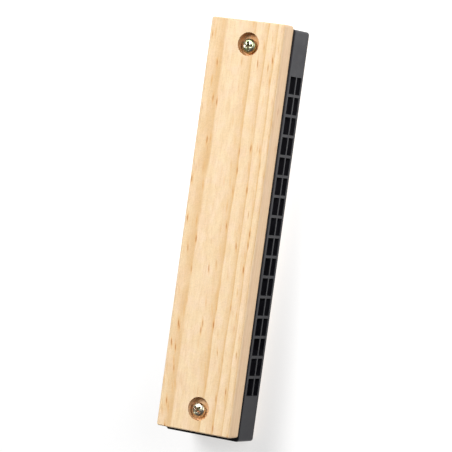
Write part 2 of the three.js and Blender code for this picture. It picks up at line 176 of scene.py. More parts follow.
class ReedSettings(bpy.types.PropertyGroup):
    plate_thickness: length("Plate thickness", "Thickness of a reed plate", 1.0)
    plate_corner: length("Plate corner", "Rounding of a reed plate's corners", 0.8)
    plate_edge: length("Plate edge", "Rounding of a reed plate's edges", 0.06)
    sink_depth: length("Sink depth", "Depth of the countersinks in a reed plate", 0.7)
    stamped_edge: length("Stamped edge", "Softening of stamped edges", 0.04)
    side_gap: length("Side gap", "Gap beside a reed in its slot", 0.3)
    tip_gap: length("Tip gap", "Gap ahead of a reed's tip", 0.35)
    reed_width: length("Reed width", "Width of a reed's tongue", 2.3)
    pad_length: length("Pad length", "Length of a reed's riveted pad", 2.8)
    pad_corner: length("Pad corner", "Rounding of the pad's rear corners", 0.5)
    shoulder: length("Shoulder", "Taper between the pad and the tongue", 0.6)
    rivet_radius: length("Rivet radius", "Radius of a rivet's shank", 0.5)
    rivet_head: length("Rivet head", "Radius of a rivet's head", 1.0)
    rivet_rise: length("Rivet rise", "Height of a rivet's head", 0.4)
    brass: colour("Brass", "Rolled brass of the plates and rivets", (0.75, 0.55, 0.24))
    bronze: colour("Bronze", "Spring bronze of the reeds", (0.72, 0.45, 0.25))


class ScrewSettings(bpy.types.PropertyGroup):
    thread_pitch: length("Thread pitch", "Rise of a cover screw's thread in one turn", 1.0)
    thread_depth: length("Thread depth", "Height of a cover screw's thread", 0.28)
    point: length("Point", "Length of a cover screw's point", 1.6)
    head_rim: length("Head rim", "Straight side of a cover screw's head", 0.55)
    head_edge: length("Head edge", "Bevel under a cover screw's head", 0.1)
    recess_span: length("Recess span", "Length of the cross recess at the top", 3.3)
    recess_width: length("Recess width", "Width of the cross recess", 0.95)
    recess_depth: length("Recess depth", "Depth of the cross recess", 1.15)
    recess_edge: length("Recess edge", "Rounding of the recess's edges", 0.06)
    twist_low: angle("Twist low", "Turn of the cover screws at the low end", 52)
    twist_high: angle("Twist high", "Turn of the cover screws at the high end", 8)
    small_pitch: length("Small pitch", "Rise of a plate screw's thread in one turn", 0.5)
    small_thread: length("Small thread", "Height of a plate screw's thread", 0.12)
    small_point: length("Small point", "Length of a plate screw's point", 0.8)
    small_head: length("Small head", "Depth of a plate screw's countersunk head", 0.7)
    slot_width: length("Slot width", "Width of a plate screw's slot", 0.4)
    slot_depth: length("Slot depth", "Depth of a plate screw's slot", 0.35)
    zinc: colour("Zinc", "Yellow zinc plate", (0.74, 0.69, 0.56))
    zinc_green: colour("Zinc green", "Greenish bloom of the plate", (0.36, 0.43, 0.24))
    zinc_rose: colour("Zinc rose", "Rosy bloom of the plate", (0.70, 0.44, 0.30))
    # painted shade and reflection: the cross recess is painted dark for its shade, and orange for a
    # reflection of the wood
    recess_shade: colour("Grime", "Dirt in the cross recess", (0.10, 0.12, 0.05))
    wood_reflection: colour("Rust", "Rusty dirt in the cross recess", (0.46, 0.15, 0.06))


class StageSettings(bpy.types.PropertyGroup):
    distance: length("Distance", "Camera to the middle of the harmonica", 949.8)
    elevation: angle("Elevation", "Camera above the table", 62.58)
    azimuth: angle("Azimuth", "Camera round from the mouth side", 3.766)
    roll: angle("Roll", "Turn of the camera about its own axis", -85.415)
    aim_along: length("Aim along", "Aim beside the middle, towards the high notes", 0.61)
    aim_behind: length("Aim behind", "Aim beside the middle, away from the mouth", 3.93)
    lens: FloatProperty(name="Lens", description="Focal length", default=234.1, unit="CAMERA")
    key_power: FloatProperty(name="Key", description="Power of the key light", default=22.6, unit="POWER")
    fill_power: FloatProperty(name="Fill", description="Power of the fill light", default=10.0, unit="POWER")
    key_size: length("Key size", "Side of the key softbox", 700.0)
    fill_size: length("Fill size", "Side of the fill softbox", 900.0)
    key_towards: direction("Key direction", "From the harmonica to the key light", (0.45, 0.36, 1.0))
    fill_towards: direction("Fill direction", "From the harmonica to the fill light", (0.5, -0.95, 0.75))
    light_distance: length("Light distance", "From the harmonica to either light", 1500.0)
    sky: FloatProperty(name="Sky", description="Strength of the light from all round", default=0.68)
    floor: colour("Floor", "Pale table top", (0.38, 0.38, 0.38))
    floor_reach: length("Floor reach", "From the middle of the table top to its edge", 6000.0)
    floor_gap: length("Floor gap", "Gap between the table top and the harmonica", 0.02)
    floor_glow: share("Floor glow", "Light of the table top itself, which thins the shadow", 0.63)


# ------------------------------------------------------------------ mesh work

def ring_points(half_x, half_y, radius, steps):
    """Corner arcs of a rounded rectangle about the origin, anticlockwise."""
    points = []
    for quarter, (sx, sy) in enumerate(((1, 1), (-1, 1), (-1, -1), (1, -1))):
        for step in range(steps + 1):
            turn = (quarter + step / steps) * math.pi / 2
            points.append(Vector((
                sx * (half_x - radius) + radius * math.cos(turn),
                sy * (half_y - radius) + radius * math.sin(turn),
            )))
    return points


def skin_rings(bm, rings):
    """Joins rings of equal length, each a list of Vectors, and closes both ends."""
    loops = [[bm.verts.new(point) for point in ring] for ring in rings]
    count = len(loops[0])
    for lower, upper in zip(loops, loops[1:]):
        for index in range(count):
            after = (index + 1) % count
            bm.faces.new((lower[index], lower[after], upper[after], upper[index]))
    bm.faces.new(list(reversed(loops[0])))
    bm.faces.new(loops[-1])


def board(bm, half_x, half_y, low, high, corner, low_edge, high_edge, end_share=1.0, steps=10):
    """A board with rounded upright corners and its own rounding on either face. The ends are
    rounded by end_share of what the long edges are."""
    levels = []
    for step in range(steps + 1):
        turn = step / steps * math.pi / 2
        levels.append((low_edge * (1 - math.sin(turn)), low + low_edge * (1 - math.cos(turn))))
    for step in range(steps + 1):
        turn = step / steps * math.pi / 2
        levels.append((high_edge * (1 - math.cos(turn)), high - high_edge * (1 - math.sin(turn))))
    rings = []
    for inset, height in levels:
        rounding = max(corner - inset, corner / 10)
        outline = ring_points(half_x - inset * end_share, half_y - inset, rounding, steps)
        rings.append([Vector((p.x, p.y, height)) for p in outline])
    skin_rings(bm, rings)


def turned(bm, profile, segments, ripple=None):
    """Turns a profile of (radius, height) about Z; it starts and ends on the axis.
    ripple(turn, radius, height) may move a point in or out, for a thread."""
    rows = []
    for radius, height in profile:
        if radius == 0:
            rows.append([bm.verts.new((0, 0, height))])
            continue
        row = []
        for index in range(segments):
            turn = 2 * math.pi * index / segments
            reach = ripple(turn, radius, height) if ripple else radius
            row.append(bm.verts.new((reach * math.cos(turn), reach * math.sin(turn), height)))
        rows.append(row)
    for lower, upper in zip(rows, rows[1:]):
        for index in range(segments):
            after = (index + 1) % segments
            if len(lower) == 1:
                bm.faces.new((lower[0], upper[after], upper[index]))
            elif len(upper) == 1:
                bm.faces.new((lower[index], lower[after], upper[0]))
            else:
                bm.faces.new((lower[index], lower[after], upper[after], upper[index]))


def box_between(bm, low, high):
    corners = [Vector((x, y, z)) for z in (low.z, high.z)
               for x, y in ((low.x, low.y), (high.x, low.y), (high.x, high.y), (low.x, high.y))]
    skin_rings(bm, [corners[:4], corners[4:]])


def circle(centre, radius, height, segments):
    """Points of a level circle, anticlockwise."""
    turns = [2 * math.pi * index / segments for index in range(segments)]
    return [Vector((centre.x + radius * math.cos(turn), centre.y + radius * math.sin(turn), height))
            for turn in turns]


def drum(bm, centre, radius, low, high, segments=96):
    """A closed cylinder along Z, used for cutting."""
    skin_rings(bm, [circle(centre, radius, height, segments) for height in (low, high)])


def solid(name, draw):
    """A new object whose mesh draw(bm) fills."""
    bm = bmesh.new()
    draw(bm)
    bmesh.ops.recalc_face_normals(bm, faces=bm.faces)
    mesh = bpy.data.meshes.new(name)
    bm.to_mesh(mesh)
    bm.free()
    piece = bpy.data.objects.new(name, mesh)
    bpy.context.scene.collection.objects.link(piece)
    return piece


def settle(piece):
    """Replaces a piece's mesh by what its modifiers make of it."""
    graph = bpy.context.evaluated_depsgraph_get()
    made = bpy.data.meshes.new_from_object(piece.evaluated_get(graph))
    before = piece.data
    made.name = piece.name
    piece.modifiers.clear()
    piece.data = made
    bpy.data.meshes.remove(before)


def cut(piece, draw_cutters):
    """Cuts away what each function in draw_cutters draws."""
    for draw in draw_cutters:
        cutter = solid("cutter", draw)
        boolean = piece.modifiers.new("cut", "BOOLEAN")
        boolean.operation = "DIFFERENCE"
        boolean.solver = "EXACT"
        boolean.object = cutter
        settle(piece)
        mesh = cutter.data
        bpy.data.objects.remove(cutter)
        bpy.data.meshes.remove(mesh)


def weld(piece, distance):
    """Joins points that a cut and its bevel left almost on top of each other, and takes out the
    tips of the faces that this folds flat."""
    bm = bmesh.new()
    bm.from_mesh(piece.data)
    bmesh.ops.remove_doubles(bm, verts=bm.verts, dist=distance)
    bmesh.ops.dissolve_degenerate(bm, edges=bm.edges, dist=distance)
    bm.normal_update()
    tips = []
    for vert in bm.verts:
        if len(vert.link_edges) == 2:
            first, second = vert.link_faces
            if first.normal.dot(second.normal) < 0.0:
                tips.append(vert)
    bmesh.ops.dissolve_verts(bm, verts=tips)
    bm.to_mesh(piece.data)
    bm.free()


def soften(piece, width, segments=2, limit=40.0):
    """Rounds the sharp edges of a piece, and smooths its shading."""
    bevel = piece.modifiers.new("softened edges", "BEVEL")
    bevel.width = width
    bevel.segments = segments
    bevel.limit_method = "ANGLE"
    bevel.angle_limit = math.radians(limit)
    bevel.harden_normals = False
    settle(piece)
    smooth(piece, limit)


def smooth(piece, limit=40.0):
    mesh = piece.data
    mesh.polygons.foreach_set("use_smooth", [True] * len(mesh.polygons))
    mesh.set_sharp_from_angle(angle=math.radians(limit))
    weighted = piece.modifiers.new("even shading", "WEIGHTED_NORMAL")
    weighted.keep_sharp = True


def finish_piece(piece, material, slot, body, *nodes):
    """Gives a piece its material and its body, and hides the CAD nodes that it stands for."""
    piece.data.materials.clear()
    piece.data.materials.append(material)
    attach(piece, body)
    if nodes:
        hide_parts(*nodes)


def middle(node):
    low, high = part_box(node)
    return (low + high) / 2


# ------------------------------------------------------------------ shader helpers

class Tree:
    """Adds nodes to a material's or group's tree in a few words."""

    def __init__(self, tree):
        self.tree = tree

    def add(self, kind, inputs=(), **settings):
        node = self.tree.nodes.new(kind)
        for key, value in settings.items():
            setattr(node, key, value)
        for socket, value in dict(inputs).items():
            self.feed(value, node.inputs[socket])
        return node

    def feed(self, value, socket):
        if isinstance(value, bpy.types.NodeSocket):
            self.tree.links.new(value, socket)
        else:
            socket.default_value = value

    def math(self, operation, *values, clamp=False):
        node = self.add("ShaderNodeMath", operation=operation, use_clamp=clamp)
        for socket, value in zip(node.inputs, values):
            self.feed(value, socket)
        return node.outputs[0]

    def plus(self, first, second):
        return self.math("ADD", first, second)

    def minus(self, first, second):
        return self.math("SUBTRACT", first, second)

    def times(self, first, second):
        return self.math("MULTIPLY", first, second)

    def over(self, first, second):
        return self.math("DIVIDE", first, second)

    def vector(self, operation, *values):
        node = self.add("ShaderNodeVectorMath", operation=operation)
        for socket, value in zip(node.inputs, values):
            self.feed(value, socket)
        return node.outputs[0]

    def mix(self, factor, first, second, blend="MIX"):
        node = self.add("ShaderNodeMix", data_type="RGBA", blend_type=blend)
        self.feed(factor, node.inputs[0])
        self.feed(first, node.inputs[6])
        self.feed(second, node.inputs[7])
        return node.outputs[2]

    def span(self, value, low, high, to_low=0.0, to_high=1.0):
        """Smoothly maps low..high to to_low..to_high."""
        node = self.add("ShaderNodeMapRange", interpolation_type="SMOOTHSTEP")
        for socket, given in zip(node.inputs, (value, low, high, to_low, to_high)):
            self.feed(given, socket)
        return node.outputs[0]

    def noise(self, vector, scale, detail=2.0, roughness=0.5):
        node = self.add(
            "ShaderNodeTexNoise",
            {"Vector": vector, "Scale": scale, "Detail": detail, "Roughness": roughness},
        )
        return node.outputs[0]

    def split(self, vector):
        return self.add("ShaderNodeSeparateXYZ", {0: vector}).outputs

    def join(self, x, y, z):
        return self.add("ShaderNodeCombineXYZ", {0: x, 1: y, 2: z}).outputs[0]


def start_group(name, inputs, outputs):
    """A new node group; inputs and outputs list (name, socket type, default)."""
    tree = bpy.data.node_groups.new(name, "ShaderNodeTree")
    for label, kind, default in inputs:
        socket = tree.interface.new_socket(label, in_out="INPUT", socket_type=kind)
        if default is not None:
            socket.default_value = default
    for label, kind in outputs:
        tree.interface.new_socket(label, in_out="OUTPUT", socket_type=kind)
    group = Tree(tree)
    entry = group.add("NodeGroupInput").outputs
    leave = group.add("NodeGroupOutput").inputs
    return group, entry, leave


def use_group(tree, name, **inputs):
    node = tree.add("ShaderNodeGroup", node_tree=bpy.data.node_groups[name])
    for label, value in inputs.items():
        tree.feed(value, node.inputs[label.replace("_", " ")])
    return node.outputs


def start_material(name, roughness, metallic=0.0):
    material = bpy.data.materials.new(name)
    material.use_nodes = True
    material.node_tree.nodes.clear()
    tree = Tree(material.node_tree)
    shader = tree.add("ShaderNodeBsdfPrincipled", {"Roughness": roughness, "Metallic": metallic})
    out = tree.add("ShaderNodeOutputMaterial")
    material.node_tree.links.new(shader.outputs[0], out.inputs[0])
    place = tree.add("ShaderNodeTexCoord").outputs["Object"]
    millimetres = tree.vector("SCALE", place)
    millimetres.node.inputs["Scale"].default_value = 1 / MM
    return material, tree, shader.inputs, millimetres


# ------------------------------------------------------------------ materials

def make_grain_group():
    """Fine lines drawn out along X: wood fibre, rolled sheet, file strokes."""
    group, entry, leave = start_group(
        "Drawn lines",
        [("Place", "NodeSocketVector", None), ("Spacing", "NodeSocketFloat", 0.3),
         ("Stretch", "NodeSocketFloat", 20.0)],
        [("Lines", "NodeSocketFloat")],
    )
    x, y, z = group.split(entry["Place"])
    across = group.over(1.0, entry["Spacing"])
    along = group.over(across, entry["Stretch"])
    drawn = group.join(group.times(x, along), group.times(y, across), group.times(z, across))
    group.feed(group.noise(drawn, 1.0, 3.0, 0.6), leave["Lines"])


def make_handling_group():
    """Broad soft patches and fine specks: the wear of being held."""
    group, entry, leave = start_group(
        "Handling",
        [("Place", "NodeSocketVector", None), ("Patch", "NodeSocketFloat", 12.0),
         ("Speck", "NodeSocketFloat", 0.15)],
        [("Patches", "NodeSocketFloat"), ("Specks", "NodeSocketFloat")],
    )
    patch = group.over(1.0, entry["Patch"])
    speck = group.over(1.0, entry["Speck"])
    group.feed(group.noise(entry["Place"], patch, 3.0, 0.55), leave["Patches"])
    group.feed(group.noise(entry["Place"], speck, 2.0, 0.5), leave["Specks"])


def bumped(tree, height, distance, strength=1.0):
    """A normal from a height of 0 to 1 that stands distance tall."""
    node = tree.add(
        "ShaderNodeBump", {"Height": height, "Distance": distance, "Strength": strength})
    return node.outputs[0]


def growth_rings(tree, settings, x, y, outward):
    """How far through its growth ring a point is, 0 to 1. The pith runs along X, beyond the
    cover's outer face, and the rings get narrower away from it."""
    slow = tree.join(tree.times(x, 0.018), tree.times(y, 0.05), tree.times(outward, 0.04))
    wander = tree.times(tree.minus(tree.noise(slow, 1.0, 2.0), 0.5), settings.ring_wander / MM)
    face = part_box("front_cover")[1].z - middle("comb").z
    across = tree.minus(tree.plus(y, wander), settings.pith_aside / MM)
    below = tree.minus(outward, (face + settings.pith_above) / MM)
    squares = tree.plus(tree.math("POWER", across, 2.0), tree.math("POWER", below, 2.0))
    reach = tree.over(tree.math("SQRT", squares), settings.core_radius / MM)
    return tree.math("FRACT", tree.minus(tree.math("POWER", reach, RING_CROWDING), RING_START))


def late_wood(tree, ring, patches, y):
    """How dark the late wood is, 0 to 1: it darkens through the ring and ends sharply."""
    late = tree.plus(tree.span(ring, 0.3, 0.9, 0.0, 0.55), tree.span(ring, 0.78, 0.95, 0.0, 0.45))
    late = tree.times(late, tree.span(ring, 0.965, 1.0, 1.0, 0.0))
    late = tree.times(late, tree.span(patches, 0.3, 0.65, 0.6, 0.95))
    # the rear edge is paler sapwood
    return tree.times(late, tree.span(y, 7.5, 13.0, 1.0, 0.15))


def resin_flecks(tree, settings, x, y, outward, ring):
    """Cores and halos, 0 to 1, of short spindles along the grain, most of them in late wood."""
    drift = tree.noise(tree.join(tree.times(x, 0.07), tree.times(y, 0.05), 0.0), 1.0, 1.0)
    bent = tree.plus(y, tree.times(drift, 1.6))
    spindle = tree.join(tree.over(x, settings.fleck_along / MM),
                        tree.over(bent, settings.fleck_across / MM),
                        tree.over(outward, settings.fleck_inward / MM))
    cells = tree.add("ShaderNodeTexVoronoi", {"Vector": spindle, "Scale": 1.0}, feature="F1")
    chance = tree.split(cells.outputs["Color"])[0]
    late = tree.span(ring, 0.55, 0.72, 0.15, 1.0)
    early = tree.times(tree.span(ring, 0.26, 0.36), tree.span(ring, 0.42, 0.52, 0.85, 0.0))
    gate = tree.times(tree.math("MAXIMUM", late, early), tree.span(chance, 0.2, 0.6))
    distance = cells.outputs["Distance"]
    core = tree.times(tree.span(distance, 0.09, 0.23, 1.0, 0.0), gate)
    halo = tree.times(tree.span(distance, 0.12, 0.5, 1.0, 0.0), gate)
    return core, halo


def pine(settings):
    """Sanded pine: growth rings, fibre, a painted sheen across the grain and resin flecks, drawn along X."""
    material, tree, shader, place = start_material("pine", 0.6)
    shader["Specular IOR Level"].default_value = 0.35
    x, y, z = tree.split(place)
    # the two covers are cut alike, each from its own stretch of the plank
    above = tree.minus(z, middle("comb").z / MM)
    outward = tree.math("ABSOLUTE", above)
    plank = tree.plus(x, tree.times(tree.math("SIGN", above), settings.plank_shift / 2 / MM))
    ring = growth_rings(tree, settings, plank, y, outward)
    patches, specks = use_group(tree, "Handling", Place=place, Patch=11.0, Speck=0.3)
    blush = tree.span(tree.noise(place, 0.22, 2.0), 0.42, 0.62, 0.0, 0.7)
    base = tree.mix(late_wood(tree, ring, patches, y),
                    tree.mix(blush, settings.pale_wood, settings.blushed_wood), settings.ring_wood)
    cloud = use_group(tree, "Drawn lines", Place=place, Spacing=1.7, Stretch=3.5)[0]
    fibre = use_group(tree, "Drawn lines", Place=place, Spacing=0.5, Stretch=12.0)[0]
    fine = use_group(tree, "Drawn lines", Place=place, Spacing=0.16, Stretch=14.0)[0]
    sheen_ripple = use_group(tree, "Drawn lines", Place=place, Spacing=1.3, Stretch=0.35)[0]
    base = tree.mix(tree.span(cloud, 0.35, 0.7, 0.0, 0.3), base, settings.ring_wood)
    base = tree.mix(tree.span(fibre, 0.4, 0.75, 0.0, 0.3), base, settings.ring_wood)
    light = tree.plus(tree.span(fine, 0.3, 0.7, -0.03, 0.02), tree.span(specks, 0.3, 0.7, 0.96, 1.04))
    # painted sheen: a faint lighter and darker ripple across the grain
    light = tree.plus(light, tree.span(sheen_ripple, 0.3, 0.7, -0.02, 0.025))
    base = tree.mix(1.0, base, tree.join(light, light, light), "MULTIPLY")
    # the fibre leans across the board, more so towards the low end
    slope = tree.minus(tree.times(x, 0.0004), 0.09)
    leaning = tree.plus(y, tree.times(x, slope))
    core, halo = resin_flecks(tree, settings, plank, leaning, outward, ring)
    base = tree.mix(tree.times(halo, 0.55), base, settings.resin_halo)
    base = tree.mix(tree.times(core, 0.75), base, settings.resin)
    # painted shade: the sides and rounded edges are painted a darker, rosier wood, and the drill browns the
    # counterbores
    facing = tree.split(tree.add("ShaderNodeNewGeometry").outputs["Normal"])[2]
    sides = tree.span(tree.math("ABSOLUTE", facing), 0.2, 0.95, 0.55, 0.0)
    base = tree.mix(sides, base, settings.shaded_side_wood)
    drilled = tree.add("ShaderNodeAttribute", attribute_name="drilled").outputs["Fac"]
    scorch = tree.times(tree.span(x, -60.0, 60.0, 0.6, 1.0),
                        tree.span(tree.noise(place, 0.3, 2.0), 0.35, 0.6, 0.6, 0.95))
    browned = tree.times(tree.times(drilled, scorch), tree.span(fibre, 0.35, 0.65, 0.75, 1.0))
    tree.feed(tree.mix(browned, base, settings.drilled_wood), shader["Base Color"])
    tree.feed(tree.span(patches, 0.3, 0.7, 0.54, 0.66), shader["Roughness"])
    relief = tree.plus(tree.times(fine, 0.6), tree.times(specks, 0.4))
    tree.feed(bumped(tree, relief, 0.03 * MM, 0.6), shader["Normal"])
    return material


def moulded_plastic(settings):
    """Black moulded plastic with a fine eroded texture, painted light and shade along its length, and
    handling marks.
    """
    material, tree, shader, place = start_material("black_plastic", 0.42)
    shader["Specular IOR Level"].default_value = 0.27
    patches, specks = use_group(tree, "Handling", Place=place, Patch=5.0, Speck=0.12)
    # painted light and shade: the plastic is painted lighter towards the high end and darker towards the low
    # end, where less light falls
    ends = tree.span(tree.split(place)[0], -66.0, 66.0)
    base = tree.mix(ends, settings.plastic, settings.painted_light)
    base = tree.mix(tree.span(patches, 0.38, 0.68, 0.0, 0.5), base, settings.handled)
    tree.feed(base, shader["Base Color"])
    tree.feed(tree.span(patches, 0.3, 0.7, 0.36, 0.48), shader["Roughness"])
    tree.feed(bumped(tree, specks, 0.02 * MM, 0.5), shader["Normal"])
    return material


def rolled_metal(name, rgb, spacing, roughness):
    """Sheet metal with rolling or filing lines along X."""
    material, tree, shader, place = start_material(name, roughness, 1.0)
    lines = use_group(tree, "Drawn lines", Place=place, Spacing=spacing, Stretch=30.0)[0]
    patches = use_group(tree, "Handling", Place=place, Patch=5.0, Speck=0.1)[0]
    dull = tuple(0.55 * value for value in rgb[:3])
    tarnish = tree.span(patches, 0.45, 0.75, 0.0, 0.5)
    tree.feed(tree.mix(tarnish, tuple(rgb), (*dull, 1.0)), shader["Base Color"])
    uneven = tree.plus(tree.span(lines, 0.3, 0.7, -0.06, 0.06),
                       tree.span(patches, 0.3, 0.7, roughness - 0.04, roughness + 0.1))
    tree.feed(uneven, shader["Roughness"])
    tree.feed(bumped(tree, lines, 0.01 * MM, 0.6), shader["Normal"])
    return material


def plated_zinc(settings):
    """Yellow chromate over zinc: pale straw, with green and rosy blooms, and a recess painted dark as
    painted shade, orange towards the low end as a painted reflection of the wood.
    """
    material, tree, shader, place = start_material("yellow_zinc", 0.3, 1.0)
    patches, specks = use_group(tree, "Handling", Place=place, Patch=1.6, Speck=0.08)
    drift = tree.noise(place, 0.9, 2.0)
    # no two screws come out of the bath alike: those at the high end are the greener ones
    along = tree.span(tree.split(place)[0], -50.0, 50.0, 0.25, 1.0)
    bloom = tree.times(tree.span(patches, 0.38, 0.6), along)
    base = tree.mix(bloom, settings.zinc, settings.zinc_green)
    base = tree.mix(tree.span(drift, 0.52, 0.72, 0.0, 0.7), base, settings.zinc_rose)
    # painted shade: the recess's walls and floor are painted dark and less metallic; towards the low end a
    # painted reflection of the wood turns them orange
    sunk = tree.add("ShaderNodeAttribute", attribute_name="sunk").outputs["Fac"]
    reflection_mask = tree.times(tree.span(drift, 0.35, 0.55), tree.span(along, 0.3, 0.9, 1.0, 0.15))
    recess_shade = tree.mix(reflection_mask, settings.recess_shade, settings.wood_reflection)
    tree.feed(tree.mix(sunk, base, recess_shade), shader["Base Color"])
    tree.feed(tree.span(sunk, 0.0, 1.0, 1.0, 0.25), shader["Metallic"])
    tree.feed(tree.span(patches, 0.3, 0.7, 0.24, 0.38), shader["Roughness"])
    tree.feed(bumped(tree, specks, 0.008 * MM, 0.5), shader["Normal"])
    return material


MADE = {}


def material_for(name):
    """The material of that name, made the first time that it is asked for."""
    if name in MADE:
        return MADE[name]
    for label, make in (("Drawn lines", make_grain_group), ("Handling", make_handling_group)):
        if label not in bpy.data.node_groups:
            make()
    scene = bpy.context.scene
    reeds = scene.harmonica_reeds
    makers = {
        "pine": lambda: pine(scene.harmonica_covers),
        "black_plastic": lambda: moulded_plastic(scene.harmonica_comb),
        "brass": lambda: rolled_metal(name, reeds.brass, spacing=0.12, roughness=0.3),
        "reed_bronze": lambda: rolled_metal(name, reeds.bronze, spacing=0.06, roughness=0.27),
        "yellow_zinc": lambda: plated_zinc(scene.harmonica_screws),
    }
    MADE[name] = makers[name]()
    return MADE[name]


# ------------------------------------------------------------------ covers

def cover_size(node, skew, corner):
    """Half length and half depth of a cover that is turned by skew in its box."""
    low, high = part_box(node)
    reach_x = (high.x - low.x) / 2 - corner
    reach_y = (high.y - low.y) / 2 - corner
    c, s = math.cos(skew), math.sin(skew)
    straight_x = (reach_x * c - reach_y * s) / (c * c - s * s)
    straight_y = (reach_y * c - reach_x * s) / (c * c - s * s)
    return straight_x + corner, straight_y + corner


def bore_centres(node, side):
    """Middles of the two counterbores in a cover's outer face."""
    low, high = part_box(node)
    face = high.z if side > 0 else low.z
    centres = []
    for end in ENDS:
        screw = middle(f"{node}_screw_{end}")
        near = [
            vertex.co for vertex in frame["nodes"][node].data.vertices
            if abs(vertex.co.z - face) < 0.01 * MM and (vertex.co.xy - screw.xy).length < 6 * MM
        ]
        reach_x = [co.x for co in near]
        reach_y = [co.y for co in near]
        centres.append(Vector((min(reach_x) + max(reach_x), min(reach_y) + max(reach_y))) / 2)
    return centres


class HARMONICA_OT_covers(bpy.types.Operator):
    """Make the front and rear pine covers"""

    bl_idname = "harmonica.covers"
    bl_label = "Covers"

    def execute(self, context):
        settings = context.scene.harmonica_covers
        for side_name, side in SIDES.items():
            self.make_cover(context, settings, side_name, side)
        return {"FINISHED"}

    def make_cover(self, context, settings, side_name, side):
        node = f"{COVER_OF[side_name]}_cover"
        skew = settings.front_skew if side > 0 else 0.0
        low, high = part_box(node)
        centre = (low + high) / 2
        half_x, half_y = cover_size(node, skew, settings.corner_radius)
        inner, outer = (low.z, high.z) if side > 0 else (high.z, low.z)
        edges = (settings.inner_edge, settings.edge_radius)
        low_edge, high_edge = edges if side > 0 else reversed(edges)
        turn = Matrix.Translation((centre.x, centre.y, 0)) @ Matrix.Rotation(skew, 4, "Z")

        def blank(bm):
            board(bm, half_x, half_y, low.z, high.z, settings.corner_radius, low_edge, high_edge,
                  settings.end_share)
            bm.transform(turn)

        piece = solid(node, blank)
        past = 2 * MM
        seat = outer - side * settings.bore_depth
        ceiling = inner + side * settings.hollow_depth
        last = PIVOTS[f"{side_name}_reed_16"].x
        half_hollow = abs(last - middle("comb").x) + context.scene.harmonica_comb.window_width / 2
        half_hollow += settings.hollow_end
        tip = min(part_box(f"{side_name}_reed_{number:02d}")[0].y for number in range(1, 17))
        plate_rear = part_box(f"{side_name}_reed_plate")[1].y
        front = tip - settings.hollow_ahead - centre.y
        rear = plate_rear - centre.y

        def hollow(bm):
            floor, top = sorted((inner - side * past, ceiling))
            box_between(bm, Vector((-half_hollow, front, floor)), Vector((half_hollow, rear, top)))
            bm.transform(turn)

        def sound_slot(bm):
            floor, top = sorted((inner - side * past, ceiling))
            half_slot = half_hollow - settings.slot_end
            box_between(bm, Vector((-half_slot, 0, floor)), Vector((half_slot, half_y + past, top)))
            bm.transform(turn)

        def bores(bm):
            for bore in bore_centres(node, side):
                drum(bm, bore, settings.bore_radius, *sorted((seat, outer + side * past)))

        def holes(bm):
            heights = sorted((inner - side * past, seat + side * past / 2))
            for end in ENDS:
                screw = middle(f"{node}_screw_{end}")
                drum(bm, screw.xy, settings.hole_radius, *heights)

        cut(piece, (hollow, sound_slot, bores, holes))
        soften(piece, settings.rim)
        self.mark_drilled(piece, bore_centres(node, side), settings, outer)
        finish_piece(piece, material_for("pine"), "pine", ROOT, node)

    def mark_drilled(self, piece, bores, settings, outer):
        """Marks the walls and floors of the counterbores for the browned wood."""
        marks = piece.data.attributes.new("drilled", "FLOAT", "POINT")
        reach = settings.bore_radius + settings.rim / 4
        for vertex, mark in zip(piece.data.vertices, marks.data):
            inside = any((vertex.co.xy - bore).length < reach for bore in bores)
            sunk = abs(vertex.co.z - outer) > settings.rim / 4
            mark.value = 1.0 if inside and sunk else 0.0


# ------------------------------------------------------------------ comb

class HARMONICA_OT_comb(bpy.types.Operator):
    """Make the moulded comb with softened windows"""

    bl_idname = "harmonica.comb"
    bl_label = "Comb"

    def execute(self, context):
        settings = context.scene.harmonica_comb
        source = frame["nodes"]["comb"].data

        def moulding(bm):
            bm.from_mesh(source)
            bmesh.ops.remove_doubles(bm, verts=bm.verts, dist=0.001 * MM)
            bmesh.ops.dissolve_limit(
                bm, angle_limit=math.radians(2), verts=bm.verts, edges=bm.edges)

        piece = solid("comb_moulding", moulding)
        soften(piece, settings.softening, segments=2, limit=50.0)
        finish_piece(piece, material_for("black_plastic"), "black_plastic", ROOT, "comb")
        return {"FINISHED"}


# ------------------------------------------------------------------ reed plates and reeds

def comb_face(side):
    return COMB_HIGH.z if side > 0 else COMB_LOW.z


def reed_names(side_name):
    return sorted(name for name in PIVOTS if name.startswith(f"{side_name}_reed_"))


def plate_screw_names(side_name):
    return [f"{side_name}_plate_screw_{end}_{row}" for end in ENDS for row in ROWS]


